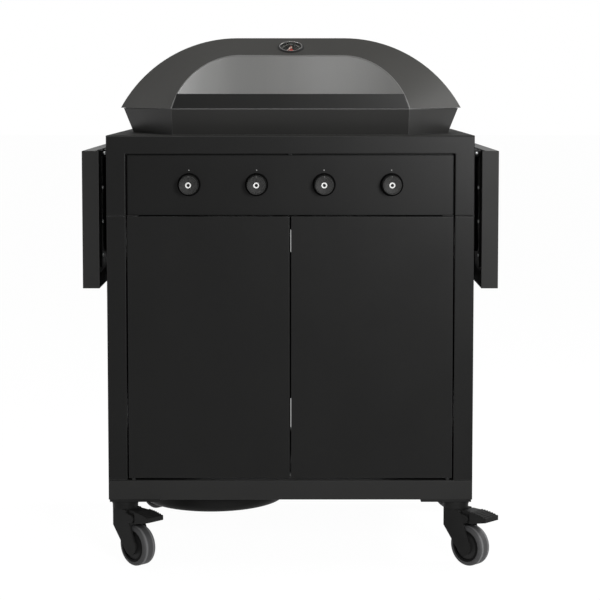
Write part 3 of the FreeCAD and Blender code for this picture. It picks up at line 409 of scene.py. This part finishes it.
first_knob = front_disc(knob_radius - skirt_margin, knob_length, knob_middle, sides=96)
skirt = [face for face in first_knob.data.polygons if abs(face.normal.y) < 0.3]
skirt.sort(key=lambda face: math.atan2(face.center.z - knob_middle.z, face.center.x - knob_middle.x))
grooves = {face.index for face in skirt[::2]}
edit(first_knob)
pick_faces(first_knob, faces_front)
bpy.ops.transform.resize(value=(face_taper, 1, face_taper), center_override=knob_middle)
step_in(face_steps)
pick_faces(first_knob, lambda face: face.index in grooves)
bpy.ops.mesh.inset(thickness=groove_margin, depth=-groove_depth, use_individual=True)
rounded_off(first_knob, width=0.00025, degrees=40)
settle(first_knob, "gripped_knob_1", knob_plastic, smooth_degrees=40)
knobs = [first_knob]
for i in (1, 2, 3):
    knobs.append(copied(first_knob, "gripped_knob_%d" % (i + 1), Vector((knob_step * i, 0, 0))))
for number, knob in enumerate(knobs, start=1):
    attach(knob, "control_knob_%d" % number)
    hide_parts("knob_%d" % number)

# Gas train and tray: drawn brass valves on a brass manifold, turned steel stems behind the panel,
# and the drip tray of sheet steel on its folded runners. Brass darkens in patches, so its tone and
# gloss wander, and the bare steel keeps the lines of its drawing or rolling.
brass = Finish("dulled_brass")
patches = brass.noise(35.0, 5.0, 0.65)
brass.cover({
    "Base Color": brass.mix(patches, (0.42, 0.29, 0.10, 1), (0.66, 0.50, 0.22, 1)),
    "Metallic": 1.0,
    "Roughness": 0.28 + patches * 0.22,
    "Normal": brass.bump(brass.noise(600.0), 0.1, brass.edge(0.0008)),
})
brass.put_on("gas_valves", "gas_manifold")


def streaked(finish, lay):
    """Streaks as drawing or rolling leaves them, with so many to the metre along each axis."""
    drawn = finish.node("ShaderNodeVectorMath", {"operation": "MULTIPLY"}, {0: finish.place(), 1: lay})
    return finish.node("ShaderNodeTexNoise", {}, {"Vector": drawn, "Scale": 1.0, "Detail": 3.0}, "Fac")


def plain_steel(name, tone, gloss, lay):
    """Bare mill-finish steel with drawn lines along one direction and a faint bloom."""
    finish = Finish(name)
    lines = streaked(finish, lay)
    bloom = finish.noise(18.0, 4.0)
    shade = [c * 0.72 for c in tone[:3]] + [1.0]
    finish.cover({
        "Base Color": finish.mix(bloom, shade, tone),
        "Metallic": 1.0,
        "Roughness": gloss + lines.swing(0.2) + bloom.swing(0.12),
        "Normal": finish.bump(lines, 0.08, finish.edge(0.0008)),
    })
    return finish


drawn_steel = plain_steel("drawn_steel", tone=(0.42, 0.42, 0.41, 1), gloss=0.34, lay=(60.0, 900.0, 60.0))
drawn_steel.put_on("valve_stem_1", "valve_stem_2", "valve_stem_3", "valve_stem_4", "tray_runners")
tray_steel = plain_steel("tray_sheet_steel", tone=(0.47, 0.47, 0.46, 1), gloss=0.38, lay=(900.0, 40.0, 900.0))
tray_steel.put_on("drip_tray")

# Burners and flame tamers: stainless tubes, and folded stainless tents on shelves above them. Heat has turned
# both straw in patches. Each burner has a row of gas ports along both flanks, painted as near-black spots of
# shade.
ports_per_metre = 100.0
port_half_share = 0.11
port_half_height = 0.0012
port_rise = 0.004
ported_half_length = 0.17
burner_steel = Finish("heated_stainless")
_, burner_y, burner_z = burner_steel.axes()
port_row = abs((burner_y * ports_per_metre) % 1.0 - 0.5) < port_half_share
port_level = abs(burner_z - knob_pivots[0].z - port_rise) < port_half_height
# Painted shade: the gas ports are painted as near-black spots.
painted_port_shade = port_row * port_level * (abs(burner_y) < ported_half_length)
heat = burner_steel.noise(9.0, 4.0)
heated = burner_steel.mix(heat, (0.36, 0.34, 0.31, 1), (0.46, 0.38, 0.27, 1))
burner_steel.cover({
    "Base Color": burner_steel.mix(painted_port_shade, heated, (0.01, 0.01, 0.01, 1)),
    "Metallic": 1.0,
    "Roughness": 0.32 + heat * 0.2,
    "Normal": burner_steel.bump(burner_steel.noise(400.0), 0.1, burner_steel.edge(0.0008)),
})
burner_steel.put_on("burners")
tamer_steel = plain_steel("heated_tent_steel", tone=(0.38, 0.34, 0.29, 1), gloss=0.4,
                          lay=(500.0, 30.0, 500.0))
tamer_steel.put_on("flame_tamers")

# Cooking grates: two halves of sand-cast iron that lie on the firebox's ledge. They are seasoned
# with oil, so black with a grainy skin and a dull shine.
cast_iron = Finish("seasoned_cast_iron")
sand = cast_iron.noise(420.0, 5.0, 0.7)
cast_iron.cover({
    "Base Color": cast_iron.clouded((0.015, 0.0147, 0.0142, 1), (0.036, 0.033, 0.030, 1), 22.0, 4.0),
    "Metallic": 0.0,
    "Roughness": 0.55 + sand.swing(0.3),
    "Normal": cast_iron.bump(sand, 0.45, cast_iron.edge(0.0018), depth=0.0006),
    "Specular IOR Level": 0.45,
})
cast_iron.put_on("cooking_grate_left", "cooking_grate_right")

# Firebox, lid handle and lid hinges: welded and folded steel with a heat-proof black coat, a touch
# warm where it has been hot. The firebox and the hinges are duller than the cabinet, and the
# handle strip, which stays cool, is as dark and glossy.
# The firebox, the lid hinges and the handle strip get a stronger painted highlight along their edges.
hot_coat = coated("heat_proof_black", gloss=0.42, shine=0.10, peel=0.16, edge_highlight=0.3, edge_radius=0.0018,
                  dark=(0.0162, 0.0162, 0.0156, 1), light=(0.0223, 0.0220, 0.0211, 1))
hot_coat.put_on("firebox", "lid_hinge_arms", "lid_hinge_posts")
handle_coat = coated("handle_black_coat", gloss=0.31, shine=0.12, peel=0.10, edge_highlight=0.35, edge_radius=0.0018,
                     dark=(0.0054, 0.0054, 0.0052, 1), light=(0.0077, 0.0077, 0.0074, 1))
handle_coat.put_on("lid_handle")

# Lid: pressed and welded steel sheets in a satin grey-black heat-proof coat, slightly warm. The seams are
# ground flush, and a thin pale highlight is painted along the folded edges. The sloping front panel is a
# smoother, paler sheet, with faint streaks from rolling and a pale highlight painted along its edges.
lid_coat = coated("lid_satin_grey", gloss=0.40, shine=0.10, peel=0.08, edge_highlight=0.3, edge_radius=0.0020,
                  dark=(0.0250, 0.0245, 0.0224, 1), light=(0.0343, 0.0337, 0.0310, 1))
lid_coat.put_on("lid_shell")
panel_grey = Finish("lid_panel_satin_grey")
panel_edge = panel_grey.edge(0.0016)
streaks = streaked(panel_grey, (38.0, 1.5, 1.5))
sheet_tone = panel_grey.mix(streaks, (0.052, 0.0514, 0.0490, 1), (0.063, 0.0624, 0.0592, 1))
panel_grey.cover({
    # Painted highlight: the panel's edges are painted pale.
    "Base Color": panel_grey.mix(panel_grey.edge_highlight_mask(panel_edge), sheet_tone, (0.15, 0.148, 0.143, 1)),
    "Roughness": 0.30 + streaks.swing(0.05),
    "Normal": panel_grey.bump(panel_grey.noise(1600.0, 1.0), 0.02, panel_edge),
    "Specular IOR Level": 0.65,
})
panel_grey.put_on("lid_front_panel")

# Thermometer: a black case with a polished inner rim, let into the lid, with a printed black dial and
# a pale pointer under bloomed glass, which mirrors little. The dial has plain division marks and a
# red cooking zone.
gauge_pivot = Vector(joint["needle_turn"]["pos_m"])
gauge_axis = -Vector(joint["needle_turn"]["axis"])
gauge_up = gauge_axis.cross(Vector((1, 0, 0)))
rim_inside = 0.0219
rim_outside = 0.0236
divisions = 60
large_every = 5.0
small_mark_from = 0.41
large_mark_from = 0.455
small_mark_foot = 0.0172
large_mark_foot = 0.0150
mark_tip = 0.0192
marked_half_turn = 2.62
zone_peak = 0.014
zone_spread = 0.22
zone_top = 0.012
zone_radius = 0.0145
zone_strength = 0.85


def gauge_plane(finish):
    """Across and up from the middle of the dial, along its face."""
    x, y, z = finish.axes()
    across = x - gauge_pivot.x
    up = (y - gauge_pivot.y) * gauge_up.y + (z - gauge_pivot.z) * gauge_up.z
    return across, up


case_black = Finish("gauge_case")
across, up = gauge_plane(case_black)
reach = across.reach(up)
polished = (reach < rim_outside) * (reach > rim_inside)
case_black.cover({
    "Base Color": case_black.mix(polished, (0.0077, 0.0077, 0.0077, 1), (0.36, 0.36, 0.35, 1)),
    "Metallic": polished,
    "Roughness": 0.5 - polished * 0.28 + case_black.noise(300.0).swing(0.05),
    "Normal": case_black.bump(case_black.noise(900.0), 0.05, case_black.edge(0.0006)),
    "Specular IOR Level": 0.15,
})
case_black.put_on("thermometer_case")
dial_print = Finish("gauge_dial")
across, up = gauge_plane(dial_print)
reach = across.reach(up)
turn = across.angle_to(up)
divided = turn * (divisions / 2 / math.pi)
small_line = abs(divided % 1.0 - 0.5) > small_mark_from
small_marks = small_line * (reach > small_mark_foot) * (reach < mark_tip)
large_line = abs((divided / large_every) % 1.0 - 0.5) > large_mark_from
large_marks = large_line * (reach > large_mark_foot) * (reach < mark_tip)
marks = (small_marks + large_marks) * (abs(turn) < marked_half_turn)
zone = (abs(across) < (zone_peak - up) * zone_spread) * (up < zone_top) * (reach < zone_radius)
dial_tone = dial_print.mix(zone * zone_strength, (0.0062, 0.0062, 0.0056, 1), (0.115, 0.0123, 0.0077, 1))
dial_print.cover({
    "Base Color": dial_print.mix(marks, dial_tone, (0.26, 0.26, 0.24, 1)),
    "Roughness": 0.6 + dial_print.noise(600.0).swing(0.1),
    "Specular IOR Level": 0.0,
})
dial_print.put_on("thermometer_dial")
pointer_paint = Finish("pointer_paint")
pointer_paint.cover({
    "Base Color": pointer_paint.clouded((0.46, 0.34, 0.27, 1), (0.60, 0.46, 0.38, 1), 500.0),
    "Roughness": 0.45,
    "Normal": pointer_paint.edge(0.0003),
})
pointer_paint.put_on("thermometer_needle")
gauge_glass = Finish("gauge_glass")
gauge_glass.cover({
    "Base Color": (0.97, 0.98, 0.98, 1),
    "Roughness": 0.02 + gauge_glass.noise(60.0) * 0.02,
    "Transmission Weight": 1.0,
    "IOR": 1.08,
})
gauge_glass.put_on("thermometer_lens")

# Door meeting strip: a soft black rubber strip stuck on the inner fold of the left door, so that
# the two doors don't knock. It is rounded on the side that faces the other door.
strip_rubber = Finish("meeting_strip_rubber")
strip_dust = strip_rubber.noise(90.0, 3.0)
strip_rubber.cover({
    "Base Color": strip_rubber.mix(strip_dust, (0.0023, 0.0023, 0.0023, 1), (0.0069, 0.0069, 0.0068, 1)),
    "Roughness": 0.75 + strip_dust.swing(0.2),
    "Normal": strip_rubber.bump(strip_rubber.noise(1500.0), 0.1, strip_rubber.edge(0.0003)),
    "Specular IOR Level": 0.05,
})
leaf_low, leaf_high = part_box("left_door")
strip_thickness = 0.0016
strip_depth = 0.006
strip_end_gap = 0.010
strip_height = leaf_high.z - leaf_low.z - 2 * strip_end_gap
nose_margin = 0.0009
nose_rise = 0.0002
strip_place = (leaf_high.x + strip_thickness / 2, leaf_high.y - strip_depth, (leaf_low.z + leaf_high.z) / 2)
bpy.ops.object.select_all(action="DESELECT")
bpy.ops.mesh.primitive_cube_add(size=1.0, location=strip_place)
meeting_strip = bpy.context.object
meeting_strip.scale = (strip_thickness, strip_depth, strip_height)
bpy.ops.object.transform_apply(location=True, rotation=True, scale=True)
edit(meeting_strip)
pick_faces(meeting_strip, lambda face: face.normal.x > 0.9)
bpy.ops.mesh.inset(thickness=nose_margin, depth=0.0)
bpy.ops.transform.translate(value=(nose_rise, 0, 0))
rounded_off(meeting_strip, width=0.0004, degrees=25)
settle(meeting_strip, "door_meeting_strip", strip_rubber, smooth_degrees=40)
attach(meeting_strip, "left_door_leaf")

# Side table hinges: folded black steel arms fixed in the pans by three zinc-plated screws each,
# turning on pins between ears on the cabinet. The plating shows on the low round heads.
hinge_dark = (0.0092, 0.0092, 0.0092, 1)
hinge_light = (0.0154, 0.0154, 0.0151, 1)
hinge_coat = coated("hinge_black_coat", hinge_dark, hinge_light, gloss=0.40, shine=0.08)
hinge_coat.put_on("table_hinge_plates", "door_pivots")
table_pivot = Vector(joint["right_table_fold"]["pos_m"])
screw_head_reach = 0.0019
tongue_height = 0.020
screw_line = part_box("right_side_table")[0].x + screw_head_reach
below_tongue = table_pivot.z - tongue_height
arm_coat = Finish("table_arm_coat")
arm_x, _, arm_z = arm_coat.axes()
on_head = (abs(arm_x) < screw_line) * (arm_z < below_tongue)
plating = arm_coat.noise(240.0, 3.0)
arm_tone = arm_coat.mix(plating, hinge_dark, hinge_light)
arm_coat.cover({
    "Base Color": arm_coat.mix(on_head, arm_tone, (0.62, 0.63, 0.63, 1)),
    "Metallic": on_head,
    "Roughness": 0.40 - on_head * 0.10 + plating.swing(0.1),
    "Normal": arm_coat.bump(arm_coat.noise(1200.0, 1.0), 0.1, arm_coat.edge(0.0006)),
    "Specular IOR Level": 0.08,
})
arm_coat.put_on("left_table_arms", "right_table_arms")

# Hinge pin heads: the pins are headed over outside each pair of ears, like rivets, and zinc plated.
# Each is a low dome on a short collar.
zinc = Finish("bright_zinc")
zinc_bloom = zinc.noise(260.0, 4.0, 0.6)
zinc.cover({
    "Base Color": zinc.mix(zinc_bloom, (0.50, 0.51, 0.51, 1), (0.70, 0.71, 0.71, 1)),
    "Metallic": 1.0,
    "Roughness": 0.24 + zinc_bloom * 0.2,
    "Normal": zinc.bump(zinc.noise(900.0), 0.06, zinc.edge(0.0003)),
})
ears_low, ears_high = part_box("table_hinge_plates")
ear_span = 0.028
wall_plate_over = 0.006
ear_front = ears_low.y + wall_plate_over
front_arm_y = ear_front + ear_span / 2
head_radius = 0.0036
collar_height = 0.0008
collar_middle = (table_pivot.x, ear_front - collar_height / 2, table_pivot.z)
dome_steps = (
    (0.0005, 0.0006),  # the steep foot of the dome
    (0.0009, 0.0005),
    (0.0011, 0.0003),
    (0.0008, 0.0001),  # its nearly flat top
)
first_head = front_disc(head_radius, collar_height, collar_middle, sides=32)
edit(first_head)
pick_faces(first_head, faces_front)
step_in(dome_steps)
rounded_off(first_head, width=0.0002, degrees=40)
settle(first_head, "hinge_pin_head_1", zinc, smooth_degrees=50)
far_head = copied(first_head, "hinge_pin_head_2", Vector((0, 0, 0)))
for vertex in far_head.data.vertices:
    vertex.co.x = 2 * table_pivot.x - vertex.co.x
    vertex.co.y = 2 * front_arm_y - vertex.co.y
heads = [first_head, far_head]
next_arm = Vector((0, ears_low.y + ears_high.y - 2 * front_arm_y, 0))
other_side = Vector((-2 * table_pivot.x, 0, 0))
for offset in (next_arm, other_side):
    for head in list(heads):
        heads.append(copied(head, "hinge_pin_head_%d" % (len(heads) + 1), offset))
for head in heads:
    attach(head, "cabinet")

# Casters: glass-filled nylon forks, hubs and pedals under coated steel plates, with soft grey tyres on the
# hubs. The nylon has a moulded grain, which the plates' coat shares. The hub's groove is painted near black
# as painted shade, and a pale painted highlight runs round the tyres' shoulders.
nylon = Finish("black_nylon")
nylon_grain = nylon.noise(800.0, 3.0, 0.6)
nylon.cover({
    "Base Color": nylon.clouded((0.0077, 0.0077, 0.0077, 1), (0.0131, 0.0131, 0.0128, 1), 30.0, 3.0),
    "Roughness": 0.46 + nylon_grain.swing(0.2),
    "Normal": nylon.bump(nylon_grain, 0.15, nylon.edge(0.0012)),
    "Specular IOR Level": 0.07,
})
nylon.put_on("brake_pedal_front_left", "brake_pedal_front_right", "caster_plates")
groove_inside = 0.0262
groove_outside = 0.0325
tread_radius = 0.0350
shoulder_place = 0.0085
shoulder_core = 0.0010
shoulder_rim = 0.0035
shoulder_highlight_strength = 0.7


def wheel_reach(finish, corner):
    """Distance from the wheel's axle, and distance along it from the wheel's middle."""
    middle = joint["roll_" + corner]["pos_m"]
    axle = joint["roll_" + corner]["axis"]
    away = [value - start for value, start in zip(finish.axes(), middle)]
    along = away[0] * axle[0] + away[1] * axle[1]
    squared = away[0] ** 2.0 + away[1] ** 2.0 + away[2] ** 2.0 - along ** 2.0
    return squared.root(), abs(along)


def dress_hub(corner):
    hub_nylon = Finish("hub_nylon_" + corner)
    reach, _ = wheel_reach(hub_nylon, corner)
    # Painted shade: the groove round the hub is painted near black.
    groove_shade = (reach > groove_inside) * (reach < groove_outside)
    hub_grain = hub_nylon.noise(800.0, 3.0, 0.6)
    hub_tone = hub_nylon.clouded((0.0138, 0.0138, 0.0138, 1), (0.0215, 0.0215, 0.0215, 1), 30.0, 3.0)
    hub_nylon.cover({
        "Base Color": hub_nylon.mix(groove_shade, hub_tone, (0.0018, 0.0018, 0.0018, 1)),
        "Roughness": 0.5 + groove_shade * 0.25 + hub_grain.swing(0.2),
        "Normal": hub_nylon.bump(hub_grain, 0.15, hub_nylon.edge(0.0010)),
        "Specular IOR Level": 0.10,
    })
    hub_nylon.put_on("caster_hub_" + corner)


def dress_tyre(corner):
    tyre_rubber = Finish("grey_tyre_rubber_" + corner)
    reach, along = wheel_reach(tyre_rubber, corner)
    shoulder = abs(along - shoulder_place).fade(shoulder_core, shoulder_rim, 1.0, 0.0)
    # Painted highlight: the tyre's shoulders are painted pale, where light would catch them.
    shoulder_highlight = shoulder * (reach > tread_radius)
    dusty = tyre_rubber.noise(55.0, 4.0, 0.65)
    rubber = tyre_rubber.mix(dusty, (0.037, 0.037, 0.0377, 1), (0.055, 0.055, 0.0562, 1))
    rubber_skin = tyre_rubber.noise(700.0, 3.0)
    tyre_rubber.cover({
        "Base Color": tyre_rubber.mix(shoulder_highlight * shoulder_highlight_strength, rubber, (0.160, 0.160, 0.163, 1)),
        "Roughness": 0.58 + dusty.swing(0.2),
        "Normal": tyre_rubber.bump(rubber_skin, 0.2, tyre_rubber.edge(0.001), depth=0.0003),
        "Specular IOR Level": 0.2,
    })
    tyre_rubber.put_on("caster_tyre_" + corner)


for corner in ("front_left", "front_right", "rear_left", "rear_right"):
    nylon.put_on("caster_fork_" + corner)
    dress_hub(corner)
    dress_tyre(corner)

# Studio: a white floor that keeps a faint shadow, and white walls under a grey ceiling. A soft lamp
# stands to the right of the camera and another high on the right, and two small ones hang over
# the grill.
floor_glow = 1.025
floor_veil = 0.95
bpy.ops.object.select_all(action="DESELECT")
bpy.ops.mesh.primitive_plane_add(size=60.0, location=(0, 0, 0))
floor = bpy.context.object
floor.name = "studio_floor"


def looked_at(finish):
    """1 for the rays that show the studio, straight, in gloss or through glass, and 0 for its light."""
    seen, mirrored, through = [finish.node("ShaderNodeLightPath", {}, {}, "Is %s Ray" % kind)
                               for kind in ("Camera", "Glossy", "Transmission")]
    return seen + mirrored + through


floor_paint = Finish("studio_white")
floor_paint.cover({"Base Color": (0.9, 0.9, 0.9, 1), "Roughness": 0.9})
painted = Reading(floor_paint, floor_paint.surface.outputs[0])
glow = floor_paint.node("ShaderNodeEmission", {}, {"Color": (1, 1, 1, 1), "Strength": floor_glow})
veiled = looked_at(floor_paint) * floor_veil
veil = floor_paint.node("ShaderNodeMixShader", {}, {0: veiled, 1: painted, 2: glow})
floor_paint.feed(floor_paint.tree.nodes["Material Output"].inputs["Surface"], veil)
floor.data.materials.append(floor_paint.material)

room_light = 0.26
ceiling_foot = 0.30
ceiling_top = 0.75
ceiling_grey = 0.50
surround = Finish("studio_surround", bpy.data.worlds.new, "Background")
heading = surround.node("ShaderNodeTexCoord", {}, {}, "Generated")
rise = surround.node("ShaderNodeSeparateXYZ", {}, {0: heading}, "Z")
ceiling = rise.fade(ceiling_foot, ceiling_top, 0.0, ceiling_grey)
shown_light = looked_at(surround) * (1.0 - room_light - ceiling)
surround.cover({"Color": (1, 1, 1, 1), "Strength": room_light + shown_light})
bpy.context.scene.world = surround.material


def soft_lamp(name, spot, aim, width, height, power):
    """A rectangular soft box that faces a point on the grill."""
    lamp = bpy.data.lights.new(name, "AREA")
    lamp.shape = "RECTANGLE"
    lamp.size = width
    lamp.size_y = height
    lamp.energy = power
    stand = bpy.data.objects.new(name, lamp)
    stand.location = spot
    stand.rotation_euler = (Vector(aim) - Vector(spot)).to_track_quat("-Z", "Y").to_euler()
    bpy.context.scene.collection.objects.link(stand)


soft_lamp("right_strip", spot=(1.0, -3.0, 1.2), aim=(0.35, -0.2, 0.85), width=0.6, height=0.8, power=75)
soft_lamp("right_side", spot=(2.2, 0.4, 2.0), aim=(0.2, 0.0, 1.0), width=0.8, height=0.8, power=46)
soft_lamp("left_overhead", spot=(-0.62, -0.1, 2.7), aim=(-0.62, -0.1, 1.0), width=0.36, height=0.8, power=18)
soft_lamp("middle_overhead", spot=(0.12, -0.1, 2.7), aim=(0.12, -0.1, 1.0), width=0.2, height=0.6, power=2)

# Camera: level with the lid and far back with a long lens, as for a catalogue picture. It looks
# down a little, and its shift lowers the frame to the casters.
looks_down = 4.30
camera_data = bpy.data.cameras.new("catalogue_camera")
camera_data.sensor_width = 36.0
camera_data.lens = 103.87
camera_data.shift_y = -0.14
camera_data.clip_end = 100.0
camera = bpy.data.objects.new("catalogue_camera", camera_data)
camera.location = (0.01904, -3.6517, 0.955)
camera.rotation_euler = (math.radians(90 - looks_down), 0, 0)
bpy.context.scene.collection.objects.link(camera)
bpy.context.scene.camera = camera

bpy.context.scene.view_settings.view_transform = "Standard"
